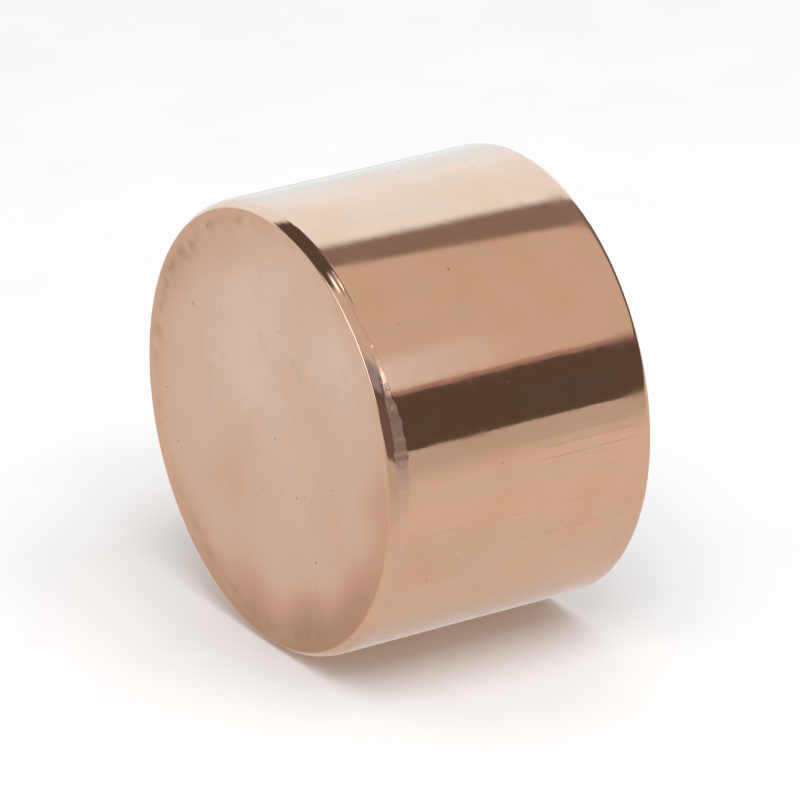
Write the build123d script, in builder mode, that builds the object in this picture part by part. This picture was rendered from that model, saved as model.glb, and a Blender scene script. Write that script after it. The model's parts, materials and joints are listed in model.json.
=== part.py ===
"""Copper end-feed pipe cap for 42 mm tube: a single cup, deep drawn from sheet and ironed to size.

The pipe axis is X. The origin is the centre of the mouth, the socket runs back along -X, and the
closed end faces -X. All sizes are in millimetres.
"""

from build123d import *

import os
from math import radians, tan

# The tube that the cap closes, and the gap on the radius that the solder fills.
tube_diameter = 42.0
solder_gap = 0.08

# The cup. The ironed wall is thinner than the base, which keeps the sheet's thickness.
wall_thickness = 1.2
base_thickness = 1.6
socket_depth = 27.5

# The closed end: a flat seat, a shallow shoulder where the draw pulls it back, a crisp edge, and a
# short cone from there to the wall. Inside, the punch leaves a larger radius.
shoulder_width = 1.5
shoulder_drop = 0.03
edge_radius = 0.15
cone_height = 0.6
cone_angle = 29
cone_end_radius = 0.5
punch_radius = 1.4

# The mouth: a long shallow bevel outside, a short lead-in for the tube inside, edges broken.
bevel_length = 0.8
bevel_height = 0.26
lead_in_length = 0.3
lead_in_height = 0.2
broken_edge_radius = 0.12

bore_radius = tube_diameter / 2 + solder_gap
outer_radius = bore_radius + wall_thickness
overall_length = socket_depth + base_thickness

closed_end_x = -overall_length
edge_x = closed_end_x + shoulder_drop
floor_x = -socket_depth
cone_length = cone_height / tan(radians(cone_angle))
flat_seat_radius = outer_radius - cone_height - shoulder_width

# Points of the half section that are rounded afterwards.
seat_edge = (edge_x, outer_radius - cone_height)
cone_end = (edge_x + cone_length, outer_radius)
inner_corner = (floor_x, bore_radius)
bevel_start = (-bevel_length, outer_radius)
rim_outside = (0, outer_radius - bevel_height)
rim_inside = (0, bore_radius + lead_in_height)


def corners_at(sketch, *points):
    """The sketch's vertices nearest to the given points, one for each."""
    return [sketch.vertices().sort_by_distance(point)[0] for point in points]


# The whole cap is one piece, so its half section turns once about the pipe axis.
with BuildPart() as cap_shell:
    with BuildSketch(Plane.XY) as half_section:
        with BuildLine():
            Polyline(
                (closed_end_x, 0),
                (closed_end_x, flat_seat_radius),
                seat_edge,
                cone_end,
                bevel_start,
                rim_outside,
                rim_inside,
                (-lead_in_length, bore_radius),
                inner_corner,
                (floor_x, 0),
                close=True,
            )
        make_face()
        fillet(corners_at(half_section, seat_edge), edge_radius)
        fillet(corners_at(half_section, cone_end), cone_end_radius)
        fillet(corners_at(half_section, inner_corner), punch_radius)
        fillet(corners_at(half_section, bevel_start, rim_outside, rim_inside), broken_edge_radius)
    revolve(axis=Axis.X)
cap_shell.part.label = "cap_shell"

os.makedirs("parts", exist_ok=True)
export_step(cap_shell.part, "parts/cap_shell.step")

print(f"outside diameter {2 * outer_radius:.2f}, overall length {overall_length:.2f}")
print(f"flat seat diameter {2 * flat_seat_radius:.2f}")
print(f"volume {cap_shell.part.volume:.1f} mm3, valid {cap_shell.part.is_valid}")
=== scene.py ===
"""Looks for the copper pipe cap: a detailed mesh of the drawn cup, its copper, and the studio.

Everything is in metres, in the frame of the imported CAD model: the pipe axis is X, the mouth opens
towards +X at x = 0, and the cap lies on its side with +Z up. Round the cap, a turn of 0 degrees is
the top (+Z), and 90 degrees is the side that faces -Y.
"""

import json
import math

import bpy
import numpy as np
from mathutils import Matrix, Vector


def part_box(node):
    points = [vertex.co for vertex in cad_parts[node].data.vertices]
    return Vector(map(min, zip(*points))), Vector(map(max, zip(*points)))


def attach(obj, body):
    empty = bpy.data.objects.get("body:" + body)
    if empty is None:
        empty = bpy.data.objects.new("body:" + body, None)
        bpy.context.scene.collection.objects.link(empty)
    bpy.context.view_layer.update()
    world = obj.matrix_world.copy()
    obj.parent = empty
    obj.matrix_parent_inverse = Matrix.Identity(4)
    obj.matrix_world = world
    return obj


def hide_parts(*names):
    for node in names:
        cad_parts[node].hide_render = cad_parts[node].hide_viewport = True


MM = 0.001

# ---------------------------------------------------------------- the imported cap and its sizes

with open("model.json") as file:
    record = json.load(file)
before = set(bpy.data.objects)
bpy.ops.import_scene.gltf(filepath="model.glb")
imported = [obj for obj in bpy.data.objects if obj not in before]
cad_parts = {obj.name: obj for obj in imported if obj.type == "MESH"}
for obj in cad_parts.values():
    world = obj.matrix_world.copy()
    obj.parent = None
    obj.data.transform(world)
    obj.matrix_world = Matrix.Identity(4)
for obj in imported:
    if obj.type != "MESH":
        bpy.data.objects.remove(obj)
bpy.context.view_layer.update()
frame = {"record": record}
low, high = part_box("cap_shell")
mounts = {mount["name"]: mount for mount in frame["record"]["mounts"]}

# The mesh stays this far inside the CAD's box.
MARGIN = 0.003 * MM

CLOSED_X = low.x
MOUTH_X = 0.0
OUTER_RADIUS = high.z - MARGIN
BORE_RADIUS = mounts["pipe_socket"]["dims"]["r_mm"] * MM
SOCKET_DEPTH = 27.5 * MM

# The closed end: a flat seat, a shallow shoulder, a crisp edge, and a short, slightly bulging cone
# up to the wall.
SHOULDER_WIDTH = 1.5 * MM
SHOULDER_DROP = 0.03 * MM
EDGE_RADIUS = 0.28 * MM
CONE_HEIGHT = 0.6 * MM
CONE_ANGLE = 29
CONE_BULGE = 0.018 * MM
CONE_END_RADIUS = 0.5 * MM

# The mouth: a rolled outer edge, a short lead-in inside. The punch leaves a radius at the floor.
ROLLED_LENGTH = 0.6 * MM
ROLLED_HEIGHT = 0.28 * MM
LEAD_IN = 0.25 * MM
PUNCH_RADIUS = 1.4 * MM

# Round the closed end, at each turn in degrees: how many mm behind it the die began to burnish the
# wall, how raw the metal before that is, from 0 for polished to 1 for as the draw left it, and how
# dark the line between them is.
BURNISH_START = [
    (0, 1.50, 0.10, 0.00),
    (12, 1.12, 0.10, 0.00),
    (27, 1.10, 0.10, 0.00),
    (33, 1.02, 0.10, 0.00),
    (37, 0.90, 0.20, 0.30),
    (40, 0.85, 0.20, 0.80),
    (46, 0.98, 0.20, 0.90),
    (50, 1.28, 0.25, 0.90),
    (53, 1.28, 0.30, 0.80),
    (57, 1.30, 0.45, 0.40),
    (62, 1.48, 0.70, 0.20),
    (65, 1.78, 0.90, 0.15),
    (70, 1.95, 1.00, 0.15),
    (77, 2.05, 1.00, 0.25),
    (80, 1.95, 0.50, 0.15),
    (92, 1.80, 0.30, 0.10),
    (102, 1.90, 0.45, 0.25),
    (110, 1.60, 0.25, 0.15),
    (140, 1.50, 0.35, 0.20),
    (175, 1.70, 0.50, 0.30),
    (220, 1.50, 0.30, 0.40),
    (262, 1.80, 0.60, 0.30),
    (305, 1.60, 0.40, 0.20),
    (335, 1.70, 0.10, 0.00),
]
# The metal before that line was never ironed: it falls off towards the cone, by this much for each
# mm, after a small step.
UNIRONED_SLOPE = 0.14
STEP_HEIGHT = 0.02 * MM
STEP_WIDTH = 0.12 * MM
CREVICE_WIDTH = 0.05 * MM
# How far behind the closed end that metal begins to look raw, past the cone, and is fully so.
RAW_FROM, RAW_FULLY = 0.60 * MM, 0.90 * MM

# How deep the closed end is dished, how high the waves are, first the broad and then the small
# ones, and how rough raw metal is.
DISH_DEPTH, DISH_RADIUS = 0.06 * MM, 20 * MM
END_WAVES = (0.020 * MM, 0.003 * MM)
WALL_WAVES = (0.004 * MM, 0.001 * MM)
INSIDE_WAVES = 0.012 * MM
RAW_GRAIN = 0.007 * MM

# The wall is worn towards the mouth, between these places, and brushed round between these turns
# in degrees: the brushing comes in over the first two, and goes over the last two.
WORN_FROM, WORN_FULLY = -5 * MM, -1 * MM
BRUSHED = (46, 54, 62, 70)

# Nicks in the edge of the burnished wall: turn in degrees, mm behind the closed end, radius and
# depth in mm.
NICKS = [
    (32.5, 0.60, 0.12, 0.03),
    (34.5, 0.60, 0.14, 0.03),
    (50.5, 1.10, 0.15, 0.05),
    (52.5, 0.45, 0.17, 0.05),
    (58.5, 0.95, 0.13, 0.04),
    (71.0, 1.20, 0.14, 0.04),
]

# Round the closed end, at each turn in degrees: the radius in mm that its satin reaches, how much
# painted shade darkens it towards its edge, and how stained it is where the satin ends.
SATIN_EDGE = [
    (0, 21.0, 0.30, 0.25),
    (20, 21.6, 0.05, 0.05),
    (60, 21.7, 0.10, 0.00),
    (90, 21.4, 0.45, 0.05),
    (115, 20.6, 0.75, 0.15),
    (150, 20.2, 1.00, 0.30),
    (185, 20.2, 0.95, 0.60),
    (225, 20.4, 0.50, 0.30),
    (270, 20.8, 0.30, 0.30),
    (300, 20.5, 0.50, 0.90),
    (335, 20.6, 0.35, 0.80),
]
# In mm too: how wide the satin fades, how far inside its edge the stains are and how wide, and
# the radii between which the painted shade grows.
SATIN_FADE = 1.8
STAIN_INSIDE, STAIN_WIDTH = 0.5, 0.60
PAINTED_SHADE_FROM, PAINTED_SHADE_FULLY = 14.0, 21.0

# Paler and darker patches of the closed end, painted light and shade, mostly paler up top and
# darker low down: turn in degrees, radius and size in mm, and how much paler each is.
PAINTED_FACE_PATCHES = [
    (335, 8.0, 8.0, 0.75),
    (45, 17.0, 5.0, 0.60),
    (5, 16.0, 5.0, 0.35),
    (95, 4.0, 5.0, 0.15),
    (225, 9.0, 5.0, -0.36),
    (40, 9.0, 4.0, -0.15),
    (110, 14.0, 5.0, -0.25),
    (190, 16.0, 4.0, -0.30),
]

# Draw lines, which the die scored along the wall: turn in degrees, the x in mm at which each starts
# and ends, width in mm, and how dark it is.
DRAW_LINES = [
    (81.5, -16.0, -2.0, 0.50, 0.10),
    (84.0, -14.0, -1.0, 0.35, 0.14),
    (87.0, -14.0, -1.4, 0.12, 0.42),
    (88.4, -9.0, -2.5, 0.12, 0.16),
    (93.5, -22.0, -9.0, 0.12, 0.12),
    (100.0, -25.0, -6.0, 0.12, 0.18),
    (108.0, -18.0, -1.5, 0.14, 0.20),
    (115.0, -26.0, -12.0, 0.12, 0.15),
    (124.0, -14.0, -2.0, 0.16, 0.15),
    (5.0, -10.0, -1.0, 0.14, 0.15),
    (-4.0, -7.0, -1.5, 0.12, 0.12),
    (47.0, -8.0, -3.0, 0.12, 0.10),
    (205.0, -20.0, -4.0, 0.14, 0.25),
    (251.0, -25.0, -9.0, 0.12, 0.20),
    (288.0, -16.0, -1.0, 0.16, 0.22),
]
# How far each one takes to appear at its start, and to vanish at its end.
LINE_FADE_IN, LINE_FADE_OUT = 3 * MM, 1 * MM


# ---------------------------------------------------------------- outlines and random fields


def line(start, end, rows):
    """Points (x, r) from start to end, without the end."""
    return [tuple(a + (b - a) * k / rows for a, b in zip(start, end)) for k in range(rows)]


def arc(centre, radius, start, end, rows):
    """Points (x, r) on an arc between two angles in degrees, without the last one."""
    turns = [math.radians(start + (end - start) * k / rows) for k in range(rows)]
    return [(centre[0] + radius * math.cos(t), centre[1] + radius * math.sin(t)) for t in turns]


def beyond(point, direction, distance):
    """The point (x, r) at a distance from another one."""
    return tuple(a + distance * b for a, b in zip(point, direction))


def ripple(points, wavelength, seed, waves=28):
    """A smooth random field over points (n, 3): a sum of plane waves, from about -1 to 1."""
    random = np.random.default_rng(seed)
    directions = random.normal(size=(waves, 3))
    directions /= np.linalg.norm(directions, axis=1, keepdims=True)
    reach = 2 * math.pi / wavelength * random.uniform(0.55, 1.45, (waves, 1))
    phases = random.uniform(0, 2 * math.pi, waves)
    return np.cos(points @ (directions * reach).T + phases).sum(axis=1) / math.sqrt(waves)


def rise(value, start, end):
    """0 before start and 1 after end, smooth between them."""
    t = np.clip((value - start) / (end - start), 0, 1)
    return t * t * (3 - 2 * t)


# ---------------------------------------------------------------- mesh of the drawn cup

# Segments round the cup, fine from this radius of the closed end to this far along the wall.
FINE, COARSE = 720, 360
FINE_FROM = 17 * MM
FINE_TO = CLOSED_X + 3.2 * MM
# A fan of triangles closes the mesh inside this radius, at the closed end and at the floor.
FAN_RADIUS = 0.5 * MM


def closed_end_sections():
    """The seat, the shoulder, the edge, the cone and the first of the wall, as stretches of the
    half section: the segments round each, and its points (x, r)."""
    slope = math.radians(CONE_ANGLE)
    edge_x, edge_r = CLOSED_X + SHOULDER_DROP, OUTER_RADIUS - CONE_HEIGHT
    seat_radius = edge_r - SHOULDER_WIDTH
    # The centres of the two roundings: one touches the seat's plane and the cone, and the other
    # the cone and the wall.
    before_edge = EDGE_RADIUS * math.tan((math.pi / 2 - slope) / 2)
    edge_centre = (edge_x + EDGE_RADIUS, edge_r - before_edge)
    past_cone = CONE_HEIGHT / math.tan(slope) + CONE_END_RADIUS * math.tan(slope / 2)
    end_centre = (edge_x + past_cone, OUTER_RADIUS - CONE_END_RADIUS)
    outward = (-math.sin(slope), math.cos(slope))
    cone_from = beyond(edge_centre, outward, EDGE_RADIUS)
    cone_to = beyond(end_centre, outward, CONE_END_RADIUS)
    cone_rows = 8
    cone = [
        beyond(point, outward, CONE_BULGE * 4 * (k / cone_rows) * (1 - k / cone_rows))
        for k, point in enumerate(line(cone_from, cone_to, cone_rows))
    ]
    return [
        (COARSE, line((CLOSED_X, FAN_RADIUS), (CLOSED_X, FINE_FROM), 34)),
        (FINE, line((CLOSED_X, FINE_FROM), (CLOSED_X, seat_radius), 6)),
        (FINE, line((CLOSED_X, seat_radius), (edge_x, edge_centre[1]), 10)),
        (FINE, arc(edge_centre, EDGE_RADIUS, 180, 90 + CONE_ANGLE, 5)),
        (FINE, cone),
        (FINE, arc(end_centre, CONE_END_RADIUS, 90 + CONE_ANGLE, 90, 5)),
        (FINE, line((end_centre[0], OUTER_RADIUS), (FINE_TO, OUTER_RADIUS), 22)),
    ]


def mouth_sections():
    """The rest of the wall, the rolled outer edge of the mouth, and its flat rim."""
    lip_x, lip_r = -ROLLED_LENGTH, OUTER_RADIUS - ROLLED_HEIGHT
    rolled_rows = 8
    quarter = [math.pi / 2 * k / rolled_rows for k in range(rolled_rows)]
    rolled = [(lip_x - lip_x * math.sin(t), lip_r + ROLLED_HEIGHT * math.cos(t)) for t in quarter]
    return [
        (COARSE, line((FINE_TO, OUTER_RADIUS), (lip_x, OUTER_RADIUS), 46)),
        (COARSE, rolled),
        (COARSE, line((MOUTH_X, lip_r), (MOUTH_X, BORE_RADIUS + LEAD_IN), 5)),
    ]


def inside_sections():
    """The lead-in, the bore, the radius that the punch leaves, and the floor."""
    floor_x = -SOCKET_DEPTH
    punch = (floor_x + PUNCH_RADIUS, BORE_RADIUS - PUNCH_RADIUS)
    return [
        (COARSE, line((MOUTH_X, BORE_RADIUS + LEAD_IN), (-LEAD_IN, BORE_RADIUS), 3)),
        (COARSE, line((-LEAD_IN, BORE_RADIUS), (punch[0], BORE_RADIUS), 30)),
        (COARSE, arc(punch, PUNCH_RADIUS, 90, 180, 8)),
        (COARSE, line((floor_x, punch[1]), (floor_x, FAN_RADIUS), 22)),
        (COARSE, [(floor_x, FAN_RADIUS)]),
    ]


def cup_rows():
    """The cup's half section as rows (x, r, segments, inside), from the middle of the closed end,
    over the wall and the mouth, to the middle of the floor inside."""
    rows = []
    for inside, sections in (
        (False, closed_end_sections() + mouth_sections()),
        (True, inside_sections()),
    ):
        for segments, points in sections:
            rows += [(x, r, segments, inside) for x, r in points]
    return rows


def round_the_cup(table, turn):
    """The columns of a table whose first column is a turn in degrees, read at each turn."""
    angles, *columns = zip(*table)
    return [np.interp(np.degrees(turn), angles, column, period=360) for column in columns]


def burnish(turn):
    """x of the ragged line where the burnished wall starts, how raw the metal before it is, and
    how dark the line is."""
    edge, raw, dark = round_the_cup(BURNISH_START, turn)
    circle = OUTER_RADIUS * np.stack([np.zeros_like(turn), np.sin(turn), np.cos(turn)], axis=1)
    for amount, wavelength, seed in ((0.06, 4.5, 11), (0.04, 1.6, 12), (0.03, 0.7, 13)):
        edge += amount * ripple(circle, wavelength * MM, seed)
    raw = np.clip(raw + 0.15 * ripple(circle, 3 * MM, 14), 0, 1)
    return CLOSED_X + edge * MM, raw, dark


def nicks(points):
    """How deep the nicks are at each point."""
    depths = np.zeros(len(points))
    for turn, behind, radius, depth in NICKS:
        y, z = -math.sin(math.radians(turn)), math.cos(math.radians(turn))
        middle = np.array([CLOSED_X + behind * MM, y * OUTER_RADIUS, z * OUTER_RADIUS])
        away = ((points - middle) ** 2).sum(axis=1) / (radius * MM) ** 2
        depths += depth * MM * np.exp(-away)
    return depths


# What a point of the cup can be, each from 0 to 1: raw metal before the burnished wall, darker
# along the step between them, satin, darker by painted shade, most of all towards the rim of the
# closed end, stained, paler by painted light, worn by the mouth, and brushed round the wall.
LOOKS = ("raw", "crevice", "satin", "painted_shade", "stain", "painted_light", "worn", "brushed")


def painted_face_patches(points):
    """How much paler painted light makes the closed end at each point, or, where negative, how much
    darker painted shade makes it.
    """
    y = points[:, 1] / MM + 1.5 * ripple(points, 8 * MM, 41)
    z = points[:, 2] / MM + 1.5 * ripple(points, 8 * MM, 42)
    paler = np.zeros(len(points))
    for turn, radius, size, amount in PAINTED_FACE_PATCHES:
        turn = math.radians(turn)
        away = (y + radius * math.sin(turn)) ** 2 + (z - radius * math.cos(turn)) ** 2
        paler += amount * np.exp(-away / size**2)
    return paler


def closed_end(r, turn, points, looks):
    """Relief of the closed end: a shallow dish, uneven, with soft waves."""
    satin_edge, painted_shade, stain = round_the_cup(SATIN_EDGE, turn)
    ring = r / MM + 0.35 * ripple(points, 5 * MM, 21)
    satin_from, satin_to = satin_edge - SATIN_FADE / 2, satin_edge + SATIN_FADE / 2
    looks["satin"] = 1 - rise(ring, satin_from, satin_to)
    spots = np.clip(0.45 + 0.40 * ripple(points, 2.0 * MM, 43), 0, 1)
    off_stain = (ring - satin_edge + STAIN_INSIDE) / STAIN_WIDTH
    looks["stain"] = stain * spots * np.exp(-(off_stain**2))
    ring = r / MM + 1.2 * ripple(points, 13 * MM, 23)
    # Painted light and shade: paler patches, mostly up top, and darker ones, mostly low down.
    paler = painted_face_patches(points)
    looks["painted_light"] = np.clip(paler, 0, 1)
    # Painted shade: darker towards the rim, most of all low down, where the rim mirrors the dark
    # studio; the darker patches add to it.
    outer = rise(ring, PAINTED_SHADE_FROM, PAINTED_SHADE_FULLY)
    looks["painted_shade"] = np.clip(painted_shade * outer - np.minimum(paler, 0), 0, 1)
    dish = DISH_DEPTH * max(1 - (r / DISH_RADIUS) ** 2, 0)
    broad = END_WAVES[0] * (1 + ripple(points, 16 * MM, 24))
    small = END_WAVES[1] * (1 + ripple(points, 4 * MM, 25))
    return -(dish + broad + small)


def wall(x, r, turn, points, faces_out, looks):
    """Relief of the wall: the raw stretch falls away below the burnished one, and both are
    slightly wavy."""
    edge, rawness, dark = burnish(turn)
    before = 1 - rise(x, edge - STEP_WIDTH / 2, edge + STEP_WIDTH / 2)
    before = before * rise(x, CLOSED_X + RAW_FROM, CLOSED_X + RAW_FULLY)
    looks["raw"] = before * rawness
    looks["crevice"] = np.exp(-(((x - edge) / CREVICE_WIDTH) ** 2)) * dark * faces_out
    ragged_x = x + 1.2 * MM * ripple(points, 6 * MM, 27)
    looks["worn"] = rise(ragged_x, WORN_FROM, WORN_FULLY) * faces_out
    degrees = np.degrees(turn)
    band = rise(degrees, *BRUSHED[:2]) * (1 - rise(degrees, *BRUSHED[2:]))
    looks["brushed"] = (0.15 + 0.85 * band) * faces_out
    # The fall is measured from the wall, so the cone only falls where it rises above that line.
    fall = UNIRONED_SLOPE * np.maximum(edge - x, 0)
    fall = np.maximum(fall - (OUTER_RADIUS - r), 0)
    step = STEP_HEIGHT * before * (0.3 + 0.7 * rawness)
    grain = RAW_GRAIN * looks["raw"] * (1 + ripple(points, 0.6 * MM, 22))
    broad = WALL_WAVES[0] * (1 + ripple(points, 8 * MM, 26))
    small = WALL_WAVES[1] * (1 + ripple(points, 2.4 * MM, 28))
    return -(fall + step + grain + faces_out * (broad + small))


def relief(x, r, turn, points, faces_out, inside):
    """How far each point of a row stands out from the plain section, never above 0, and its looks.
    faces_out is 0 where the row faces along the axis and 1 where it faces outwards."""
    looks = dict.fromkeys(LOOKS, np.zeros_like(turn))
    if inside:
        return np.minimum(INSIDE_WAVES * (ripple(points, 9 * MM, 31) - 1), 0), looks
    height = wall(x, r, turn, points, faces_out, looks) - nicks(points)
    if x < CLOSED_X / 2:
        height += (1 - faces_out) * closed_end(r, turn, points, looks)
        for key in ("satin", "painted_shade", "stain", "painted_light"):
            looks[key] = looks[key] * (1 - faces_out)
    return np.minimum(height, 0), looks


def bridge(a, b, count_a, count_b):
    """Faces between two rows of vertices, the first of each row given. One row may have twice as
    many vertices as the other."""
    faces = []
    for s in range(min(count_a, count_b)):
        t = (s + 1) % min(count_a, count_b)
        if count_a == count_b:
            faces.append((a + s, a + t, b + t, b + s))
        elif count_a < count_b:
            middle, last = b + 2 * s + 1, b + (2 * s + 2) % count_b
            faces += [(a + s, middle, b + 2 * s), (a + s, a + t, middle), (a + t, last, middle)]
        else:
            middle, last = a + 2 * s + 1, a + (2 * s + 2) % count_a
            faces += [(a + 2 * s, middle, b + s), (middle, b + t, b + s), (middle, last, b + t)]
    return faces


def row_normals(rows):
    """The direction (x, r) that the plain section faces at each row."""
    along = np.gradient(np.array([row[:2] for row in rows]), axis=0)
    normals = np.stack([-along[:, 1], along[:, 0]], axis=1)
    return normals / np.linalg.norm(normals, axis=1, keepdims=True)


def add_fan(verts, faces, looks, start, count, flip):
    """Close a row of vertices with triangles to a new one in its middle."""
    centre = len(verts)
    verts.append(tuple(np.mean(verts[start : start + count], axis=0)))
    for key in looks:
        looks[key].append(looks[key][start])
    for s in range(count):
        pair = (start + s, start + (s + 1) % count)
        faces.append((centre, *(pair if flip else pair[::-1])))


def lathe_cup(name):
    """The whole cup as one closed mesh, with its looks as attributes."""
    rows = cup_rows()
    verts, faces, starts = [], [], []
    looks = {key: [] for key in LOOKS}
    for (x, r, count, inside), (out_x, out_r) in zip(rows, row_normals(rows)):
        turn = np.linspace(0, 2 * math.pi, count, endpoint=False)
        ring = np.stack([np.full(count, x), -r * np.sin(turn), r * np.cos(turn)], axis=1)
        height, look = relief(x, r, turn, ring, max(float(out_r), 0.0), inside)
        out_x, out_r = np.full(count, out_x), np.full(count, out_r)
        outward = np.stack([out_x, -out_r * np.sin(turn), out_r * np.cos(turn)], axis=1)
        starts.append(len(verts))
        verts += [tuple(v) for v in ring + outward * height[:, None]]
        for key, values in look.items():
            looks[key] += list(values)
    counts = [row[2] for row in rows]
    for k in range(len(rows) - 1):
        faces += bridge(starts[k], starts[k + 1], counts[k], counts[k + 1])
    add_fan(verts, faces, looks, starts[0], counts[0], flip=False)
    add_fan(verts, faces, looks, starts[-1], counts[-1], flip=True)

    mesh = bpy.data.meshes.new(name)
    mesh.from_pydata(verts, [], faces)
    mesh.validate()
    mesh.shade_smooth()
    for key, values in looks.items():
        mesh.attributes.new(key, "FLOAT", "POINT").data.foreach_set("value", values)
    inside_from = next(k for k, row in enumerate(rows) if row[3])
    for polygon in mesh.polygons:
        polygon.material_index = int(min(polygon.vertices) >= starts[inside_from])
    obj = bpy.data.objects.new(name, mesh)
    bpy.context.scene.collection.objects.link(obj)
    return obj


# ---------------------------------------------------------------- materials


def node(tree, kind, settings=None, **inputs):
    """A shader node with its properties and its inputs, by name, with _ for a space, or by number
    after an underscore. An input is a value or another node's output."""
    made = tree.nodes.new("ShaderNode" + kind)
    for key, value in (settings or {}).items():
        setattr(made, key, value)
    for key, value in inputs.items():
        number = key[1:] if key[0] == "_" else ""
        socket = made.inputs[int(number)] if number else made.inputs[key.replace("_", " ")]
        if isinstance(value, bpy.types.NodeSocket):
            tree.links.new(value, socket)
        else:
            socket.default_value = value
    return made


def new_material(name, metallic=1.0):
    """An empty material, its tree and its Principled shader."""
    material = bpy.data.materials.new(name)
    material.use_nodes = True
    shader = material.node_tree.nodes["Principled BSDF"]
    shader.inputs["Metallic"].default_value = metallic
    return material, material.node_tree, shader


def math_node(tree, operation, a, b=0.0):
    """The output of a Math node."""
    return node(tree, "Math", {"operation": operation}, _0=a, _1=b).outputs[0]


def attribute(tree, name):
    """The value of one of the mesh's attributes."""
    return node(tree, "Attribute", {"attribute_name": name}).outputs["Fac"]


def noise(tree, stretch, scale, detail=3.0, roughness=0.55):
    """Noise over the object, whose size along X, Y and Z is divided by stretch."""
    place = node(tree, "TexCoord").outputs["Object"]
    scaled = node(tree, "Mapping", _0=place)
    scaled.inputs["Scale"].default_value = stretch
    made = node(
        tree,
        "TexNoise",
        Vector=scaled.outputs[0],
        Scale=scale,
        Detail=detail,
        Roughness=roughness,
    )
    return made.outputs["Fac"]


def between(tree, value, start, end, first=0.0, last=1.0):
    """value from start..end as first..last, smooth and clamped."""
    settings = {"interpolation_type": "SMOOTHSTEP"}
    made = node(tree, "MapRange", settings, _0=value, _1=start, _2=end, _3=first, _4=last)
    return made.outputs[0]


def blend(tree, factor, a, b):
    """A colour between a and b."""
    made = node(tree, "Mix", {"data_type": "RGBA"})
    for number, value in ((0, factor), (6, a), (7, b)):
        if isinstance(value, bpy.types.NodeSocket):
            tree.links.new(value, made.inputs[number])
        else:
            made.inputs[number].default_value = value
    return made.outputs[2]


def draw_line_mask(tree):
    """How dark each scored draw line is where it runs, broken up a little, and 0 elsewhere."""
    place = node(tree, "SeparateXYZ", _0=node(tree, "TexCoord").outputs["Object"]).outputs
    turn = math_node(tree, "ARCTAN2", math_node(tree, "MULTIPLY", place[1], -1.0), place[2])
    breaks = between(tree, noise(tree, (0.4, 1.0, 1.0), 900, 2.0), 0.36, 0.52, 0.25, 1.0)
    mask = 0.0
    for angle, start, end, width, darkness in DRAW_LINES:
        angle = math.remainder(math.radians(angle), math.tau)
        half_width = width * MM / 2 / OUTER_RADIUS
        away = math_node(tree, "ABSOLUTE", math_node(tree, "SUBTRACT", turn, angle))
        across = between(tree, away, half_width * 0.4, half_width, darkness, 0.0)
        start, end = start * MM, end * MM
        fade_in = between(tree, place[0], start, start + LINE_FADE_IN)
        fade_out = between(tree, place[0], end - LINE_FADE_OUT, end, 1.0, 0.0)
        along = math_node(tree, "MULTIPLY", fade_in, fade_out)
        mask = math_node(tree, "MAXIMUM", mask, math_node(tree, "MULTIPLY", across, along))
    return math_node(tree, "MULTIPLY", mask, breaks)


# How noise is stretched: not at all, into streaks along the axis, or into lines round it.
EVEN = (1.0, 1.0, 1.0)
ALONG_X = (0.03, 1.0, 1.0)
AROUND_X = (1.0, 0.06, 0.06)

BURNISHED = (0.70, 0.44, 0.30, 1)
ORANGE = (0.69, 0.42, 0.27, 1)
SATIN = (0.71, 0.49, 0.375, 1)
# Colours of painted shade on the closed end: warmer, then dark, towards its rim.
PAINTED_SHADE_WARM = (0.68, 0.40, 0.265, 1)
PAINTED_SHADE_DARK = (0.46, 0.25, 0.155, 1)
# The colour of painted light on the closed end's paler patches.
PAINTED_LIGHT_COLOUR = (0.80, 0.585, 0.475, 1)
RAW = (0.66, 0.42, 0.36, 1)
OXIDE = (0.30, 0.17, 0.11, 1)
OLIVE = (0.58, 0.43, 0.31, 1)
BORE = (0.60, 0.38, 0.27, 1)

# Bumps of the material: lines, the soft unevenness of polished metal, grit, and marks inside.
LINE_HEIGHT = 0.0005 * MM
PEEL_HEIGHT = 0.004 * MM
GRIT_HEIGHT = 0.009 * MM
MARK_HEIGHT = 0.004 * MM


def plain_copper(tree, look, clouds):
    """The colour of clean metal: burnished and banded on the wall, satin on the closed end, with
    painted light and painted shade on it, and raw behind the cone. Smudges lie over all of it."""
    bands = noise(tree, (0.05, 1.0, 1.0), 520, 4.0, 0.6)
    milky = noise(tree, EVEN, 75, 2.0)
    smudges = noise(tree, EVEN, 420, 4.0, 0.6)
    colour = blend(tree, between(tree, clouds, 0.40, 0.68), BURNISHED, ORANGE)
    colour = blend(tree, between(tree, bands, 0.50, 0.72, 0.0, 0.35), colour, OLIVE)
    satin_colour = blend(tree, between(tree, milky, 0.40, 0.70, 0.0, 0.45), SATIN, BURNISHED)
    # Painted light: the paler patches of the closed end.
    satin_colour = blend(tree, look["painted_light"], satin_colour, PAINTED_LIGHT_COLOUR)
    colour = blend(tree, look["satin"], colour, satin_colour)
    # Painted shade, towards the rim of the closed end and in its darker patches.
    colour = blend(tree, between(tree, look["painted_shade"], 0.0, 0.55), colour, PAINTED_SHADE_WARM)
    colour = blend(tree, between(tree, look["painted_shade"], 0.25, 1.10), colour, PAINTED_SHADE_DARK)
    colour = blend(tree, math_node(tree, "MULTIPLY", look["raw"], 0.7), colour, RAW)
    return blend(tree, between(tree, smudges, 0.52, 0.80, 0.0, 0.35), colour, OLIVE)


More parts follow.
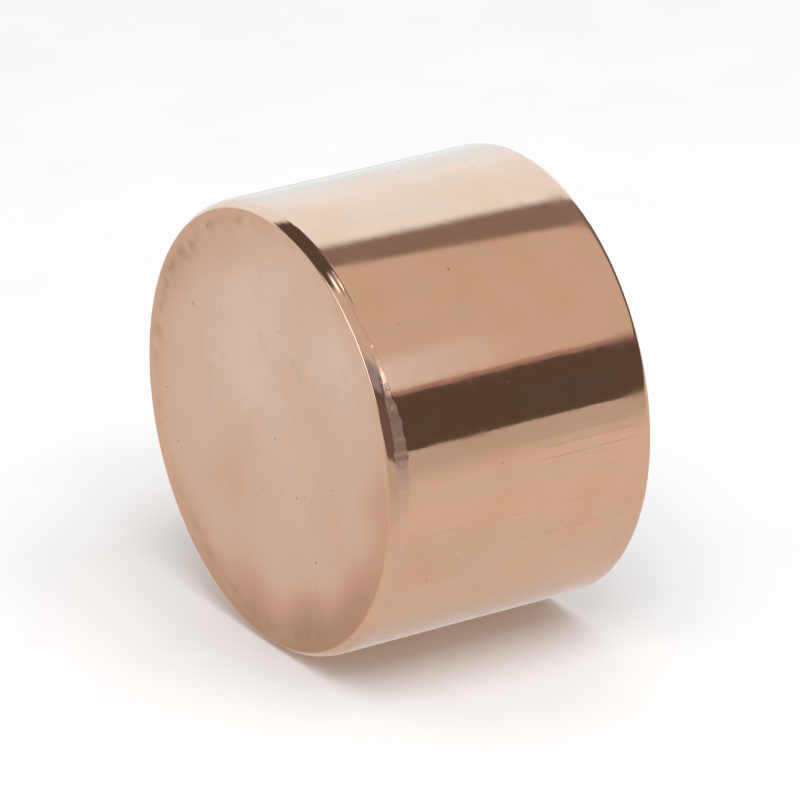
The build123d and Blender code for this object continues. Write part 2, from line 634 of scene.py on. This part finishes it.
def streak_mask(tree, look, streaks):
    """Where the wall is streaked along the axis: faintly in patches, and on its draw lines."""
    patches = between(tree, noise(tree, (0.25, 1.0, 1.0), 130, 2.0), 0.48, 0.62)
    faint = between(tree, streaks, 0.60, 0.80, 0.0, 0.14)
    mask = math_node(tree, "MULTIPLY", faint, patches)
    mask = math_node(tree, "MAXIMUM", mask, draw_line_mask(tree))
    return math_node(tree, "SUBTRACT", mask, look["satin"])


def dark_marks_mask(tree, look, grit):
    """Where the metal is darker: along the step, in pits of the rawest metal, in stains and specks.
    """
    specks = between(tree, noise(tree, EVEN, 1400, 0.0), 0.86, 0.89)
    rawest = between(tree, look["raw"], 0.45, 0.90)
    pits = math_node(tree, "MULTIPLY", rawest, between(tree, grit, 0.54, 0.66, 0.0, 0.4))
    # Darker along the step between raw and burnished metal.
    dark_marks = math_node(tree, "MULTIPLY", look["crevice"], 0.8)
    for mask in (specks, look["stain"], pits):
        dark_marks = math_node(tree, "MAXIMUM", dark_marks, mask)
    return dark_marks


def outside_roughness(tree, look, clouds, dark_marks):
    """Nearly a mirror where it is burnished, and duller by an amount for each thing on it."""
    haze = between(tree, noise(tree, (1.0, 0.35, 0.35), 330, 3.0, 0.6), 0.50, 0.75)
    rough = between(tree, clouds, 0.35, 0.75, 0.05, 0.09)
    for mask, more in (
        (haze, 0.07),
        (dark_marks, 0.25),
        (look["satin"], 0.24),
        (look["raw"], 0.30),
        (look["worn"], 0.05),
    ):
        rough = math_node(tree, "ADD", rough, math_node(tree, "MULTIPLY", mask, more))
    return rough


def outside_bump(tree, look, streaks, grit):
    """Fine lines along the wall and round it, a soft unevenness, and grit on raw metal."""
    hairlines = noise(tree, AROUND_X, 5200, 2.0)
    hairs = math_node(tree, "MULTIPLY", hairlines, look["brushed"])
    lines = math_node(tree, "ADD", streaks, math_node(tree, "MULTIPLY", hairs, 4.0))
    uneven = between(tree, noise(tree, EVEN, 210, 2.0), 0.42, 0.62, 0.25, 1.0)
    normal = node(tree, "Bump", Height=lines, Strength=1.0, Distance=LINE_HEIGHT).outputs[0]
    for height, strength, distance in (
        (noise(tree, EVEN, 650, 3.0), uneven, PEEL_HEIGHT),
        (grit, look["raw"], GRIT_HEIGHT),
    ):
        bump = node(tree, "Bump", Height=height, Strength=strength, Distance=distance)
        tree.links.new(normal, bump.inputs["Normal"])
        normal = bump.outputs[0]
    return normal


def copper_outside():
    """The outside of the cup: burnished wall, raw metal behind the cone, satin closed end."""
    material, tree, shader = new_material("copper_outside")
    look = {name: attribute(tree, name) for name in LOOKS}
    clouds = noise(tree, EVEN, 170)
    streaks = noise(tree, ALONG_X, 3200, 2.0)
    grit = noise(tree, EVEN, 2600, 2.0, 0.6)
    dark_marks = dark_marks_mask(tree, look, grit)
    colour = plain_copper(tree, look, clouds)
    colour = blend(tree, streak_mask(tree, look, streaks), colour, OXIDE)
    colour = blend(tree, math_node(tree, "MULTIPLY", dark_marks, 0.55), colour, OXIDE)
    tree.links.new(colour, shader.inputs["Base Color"])
    tree.links.new(outside_roughness(tree, look, clouds, dark_marks), shader.inputs["Roughness"])
    tree.links.new(outside_bump(tree, look, streaks, grit), shader.inputs["Normal"])
    return material


def copper_inside():
    """The inside of the cup, duller: draw marks along the bore and rings on the floor."""
    material, tree, shader = new_material("copper_inside")
    place = node(tree, "SeparateXYZ", _0=node(tree, "TexCoord").outputs["Object"]).outputs
    flat = node(tree, "CombineXYZ", _1=place[1], _2=place[2])
    radius = node(tree, "VectorMath", {"operation": "LENGTH"}, _0=flat.outputs[0])
    ringed = node(tree, "CombineXYZ", _0=radius.outputs["Value"])
    rings = node(tree, "TexNoise", Vector=ringed.outputs[0], Scale=1500.0, Detail=4.0)
    draw_marks = noise(tree, ALONG_X, 1800, 3.0)
    # The rings end on the punch radius, and the marks of the bore begin there.
    on_bore = between(tree, place[0], -SOCKET_DEPTH + 0.4 * MM, -SOCKET_DEPTH + PUNCH_RADIUS)
    marks = blend(tree, on_bore, rings.outputs["Fac"], draw_marks)

    clouds = noise(tree, EVEN, 140)
    colour = blend(tree, between(tree, clouds, 0.35, 0.7), BORE, SATIN)
    colour = blend(tree, between(tree, marks, 0.5, 0.75, 0.0, 0.30), colour, OXIDE)
    smudges = between(tree, noise(tree, EVEN, 480, 4.0), 0.5, 0.8, 0.0, 0.4)
    colour = blend(tree, smudges, colour, OLIVE)
    tree.links.new(colour, shader.inputs["Base Color"])
    tree.links.new(between(tree, clouds, 0.3, 0.7, 0.24, 0.36), shader.inputs["Roughness"])
    bump = node(tree, "Bump", Height=marks, Strength=1.0, Distance=MARK_HEIGHT)
    tree.links.new(bump.outputs[0], shader.inputs["Normal"])
    return material


cup = lathe_cup("drawn_cup")
cup.data.materials.append(copper_outside())
cup.data.materials.append(copper_inside())
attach(cup, "root")
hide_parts("cap_shell")


# ---------------------------------------------------------------- camera

# Where the camera stands round the cap and above it, how far off, and how far it is moved aside.
AZIMUTH, ELEVATION = math.radians(-32.72), math.radians(22.7)
DISTANCE = 669.5 * MM
LENS_MM = 314.2
MOVED_RIGHT, MOVED_UP = 0.508 * MM, -0.08 * MM

centre = (low + high) / 2
back = Vector(
    (
        math.sin(AZIMUTH) * math.cos(ELEVATION),
        -math.cos(AZIMUTH) * math.cos(ELEVATION),
        math.sin(ELEVATION),
    )
)
camera = bpy.data.objects.new("camera", bpy.data.cameras.new("camera"))
bpy.context.scene.collection.objects.link(camera)
camera.data.sensor_width = 36
camera.data.lens = LENS_MM
camera.data.clip_start = 0.01
camera.rotation_mode = "QUATERNION"
camera.rotation_quaternion = (-back).to_track_quat("-Z", "Y")
aside = camera.rotation_quaternion @ Vector((MOVED_RIGHT, MOVED_UP, 0))
camera.location = centre + aside + back * DISTANCE
bpy.context.scene.camera = camera
bpy.context.scene.view_settings.view_transform = "Standard"


# ---------------------------------------------------------------- studio

# Directions on the floor as the camera sees it: to its right, and away from it.
RIGHT = Vector((math.cos(AZIMUTH), math.sin(AZIMUTH), 0))
AWAY = Vector((-math.sin(AZIMUTH), math.cos(AZIMUTH), 0))
UP = Vector((0, 0, 1))

# The directions of a panel's two sides: level, upright and facing the camera, upright and facing
# its right, level and turned, and level along the cap.
FLAT = (RIGHT, AWAY)
UPRIGHT = (RIGHT, UP)
SIDEWAYS = (AWAY, UP)
TURNED = (RIGHT * 0.84 - AWAY * 0.54, RIGHT * 0.54 + AWAY * 0.84)
BY_THE_CAP = (Vector((1, 0, 0)), Vector((0, 1, 0)))

FLOOR_SIDE = 12.0
# The colour of the two widest panels over the cap.
CREAM = (0.80, 0.765, 0.725)


def at(right, away, up):
    """A place in the studio, from where the camera sees it."""
    return RIGHT * right + AWAY * away + UP * up


def sheet(name, middle, sides, size):
    """A flat rectangle with its two sides along two directions."""
    across, along = sides[0] * (size[0] / 2), sides[1] * (size[1] / 2)
    corners = [middle + across * a + along * b for a, b in ((-1, -1), (1, -1), (1, 1), (-1, 1))]
    mesh = bpy.data.meshes.new(name)
    mesh.from_pydata(corners, [], [(0, 1, 2, 3)])
    mesh.uv_layers.new(name="UVMap")
    for loop, uv in zip(mesh.uv_layers[0].data, ((0, 0), (1, 0), (1, 1), (0, 1))):
        loop.uv = uv
    obj = bpy.data.objects.new(name, mesh)
    bpy.context.scene.collection.objects.link(obj)
    return obj


def edge_fade(tree, coordinate, softness):
    """1 in the middle of a sheet and 0 at its two edges, over softness of its half width."""
    centred = math_node(tree, "SUBTRACT", coordinate, 0.5)
    reach = math_node(tree, "MULTIPLY", math_node(tree, "ABSOLUTE", centred), 2.0)
    return between(tree, reach, 1 - softness, 1, 1.0, 0.0)


def light_panel(name, middle, sides, size, colour, softness, cover=1.0, low_colour=None):
    """A glowing panel that the copper mirrors and nothing else sees. Its edges are soft, cover is
    how much it hides of what is behind it, and low_colour is its colour low down."""
    panel = sheet(name, middle, sides, size)
    material = bpy.data.materials.new(name)
    material.use_nodes = True
    tree = material.node_tree
    tree.nodes.clear()
    place = node(tree, "SeparateXYZ", _0=node(tree, "TexCoord").outputs["UV"]).outputs
    shown = math_node(
        tree,
        "MULTIPLY",
        edge_fade(tree, place[0], softness[0]),
        edge_fade(tree, place[1], softness[1]),
    )
    glow = node(tree, "Emission", Strength=1.0)
    # The colour low down gives way to the other one between these heights of the panel.
    climb = between(tree, place[1], 0.2, 0.45)
    blended = blend(tree, climb, (*(low_colour or colour), 1), (*colour, 1))
    tree.links.new(blended, glow.inputs["Color"])
    mixed = node(
        tree,
        "MixShader",
        _0=math_node(tree, "MULTIPLY", shown, cover),
        _1=node(tree, "BsdfTransparent").outputs[0],
        _2=glow.outputs[0],
    )
    node(tree, "OutputMaterial", Surface=mixed.outputs[0])
    panel.data.materials.append(material)
    panel.visible_camera = False
    panel.visible_diffuse = False
    panel.visible_shadow = False
    panel.visible_transmission = False


def studio_floor():
    """A pale floor that the cap lies on."""
    floor = sheet("studio_floor", at(0, 0, low.z), FLAT, (FLOOR_SIDE, FLOOR_SIDE))
    material, tree, shader = new_material("pale_floor", metallic=0.0)
    paper = between(tree, noise(tree, EVEN, 60), 0.3, 0.7, 0.90, 0.92)
    colour = node(tree, "CombineColor", _0=paper, _1=paper, _2=paper)
    tree.links.new(colour.outputs[0], shader.inputs["Base Color"])
    shader.inputs["Roughness"].default_value = 0.9
    shader.inputs["Specular IOR Level"].default_value = 0.0
    floor.data.materials.append(material)


def studio_world():
    """Even white light all round, and for the copper a dark room behind the panels."""
    world = bpy.data.worlds.new("studio")
    world.use_nodes = True
    bpy.context.scene.world = world
    tree = world.node_tree
    tree.nodes.clear()
    mixed = node(
        tree,
        "MixShader",
        _0=node(tree, "LightPath").outputs["Is Glossy Ray"],
        _1=node(tree, "Background", Color=(1, 1, 1, 1), Strength=0.75).outputs[0],
        _2=node(tree, "Background", Color=(1.0, 0.86, 0.80, 1), Strength=0.13).outputs[0],
    )
    node(tree, "OutputWorld", Surface=mixed.outputs[0])


# The panels that the copper mirrors: name, middle, directions of the sides, size, colour, and how
# soft the edges are along each side. The wall shows most of them as bands along the axis, from the
# backdrop at the top, past the panel overhead and the dark flag, to the floor. The lamps and the
# grey card show on the cone, the edge and the raw metal.
PANELS = [
    ("top_panel", at(0.2125, -0.0665, 0.151), FLAT, (0.415, 0.217), CREAM, (0.10, 0.08)),
    (
        "top_panel_glow",
        at(0.205, -0.11, 0.1505) - TURNED[1] * 0.024,
        TURNED,
        (0.17, 0.09),
        (1.0, 1.10, 1.36),
        (0.6, 1.0),
    ),
    (
        "red_edge",
        Vector((0.2, -0.274, 0.150)),
        BY_THE_CAP,
        (0.24, 0.040),
        (0.50, 0.34, 0.36),
        (0.2, 0.7),
    ),
    (
        "black_flag",
        Vector((0.2, -0.366, 0.1495)),
        BY_THE_CAP,
        (0.24, 0.170),
        (0.13, 0.11, 0.10),
        (0.2, 0.10),
    ),
    ("front_lamp", at(0.115, -0.188, 0.149), FLAT, (0.10, 0.11), (2.1, 2.3, 2.5), (0.5, 0.4)),
    ("high_lamp", at(-0.095, -0.082, 0.299), FLAT, (0.06, 0.08), (2.2, 2.3, 2.5), (0.8, 0.8)),
    ("grey_card", at(-0.03, -0.245, 0.149), FLAT, (0.13, 0.15), (0.42, 0.44, 0.60), (0.3, 0.5)),
    ("front_left_card", at(-0.31, -0.26, 0.30), FLAT, (0.86, 0.33), CREAM, (0.05, 0.15)),
    ("left_lamp", at(-0.245, -0.21, 0.125), SIDEWAYS, (0.32, 0.21), (2.4, 2.6, 2.9), (0.3, 0.3)),
    ("room_glow", at(0.03, -0.60, 0.12), UPRIGHT, (0.50, 0.34), (0.22, 0.165, 0.17), (0.3, 0.3)),
    ("ceiling", at(0.35, 0.15, 0.45), FLAT, (0.8, 0.6), (0.33, 0.285, 0.29), (0.1, 0.2)),
    (
        "high_backdrop",
        at(-0.02, 0.205, 0.36),
        UPRIGHT,
        (0.16, 0.10),
        (1.10, 1.36, 1.60),
        (0.2, 0.25),
    ),
]
BACKDROP = (at(-0.36, 0.211, 0.1375), UPRIGHT, (1.0, 0.475), (1.14, 1.42, 1.68), (0.03, 0.27))
BACKDROP_LOW = (0.97, 1.16, 1.27)

# Two more lie just above the floor, because the copper mirrors it darker than the camera sees it.
NEAR_UP, FAR_UP = low.z + 0.20 * MM, low.z + 0.42 * MM
NEAR_FLOOR = (at(0, 0, NEAR_UP), FLAT, (0.7, 0.6), (0.81, 0.80, 0.79), (0.2, 0.2))
FAR_FLOOR = (at(0, -1.04, FAR_UP), FLAT, (4.0, 2.0), (0.69, 0.68, 0.67), (0.05, 0.08))

studio_floor()
studio_world()
for panel in PANELS:
    light_panel(*panel)
light_panel("backdrop", *BACKDROP, low_colour=BACKDROP_LOW)
light_panel("near_floor", *NEAR_FLOOR, cover=0.75)
light_panel("far_floor", *FAR_FLOOR)

# The key light, above and in front, that only the floor sees.
key = bpy.data.objects.new("key_light", bpy.data.lights.new("key_light", "AREA"))
bpy.context.scene.collection.objects.link(key)
key.data.shape = "RECTANGLE"
key.data.size, key.data.size_y = 0.5, 0.4
key.data.energy = 1.9
key.location = at(0.1, -0.25, 0.5)
key.rotation_mode = "QUATERNION"
key.rotation_quaternion = key.location.to_track_quat("Z", "Y")
key.visible_glossy = False
key.visible_camera = False
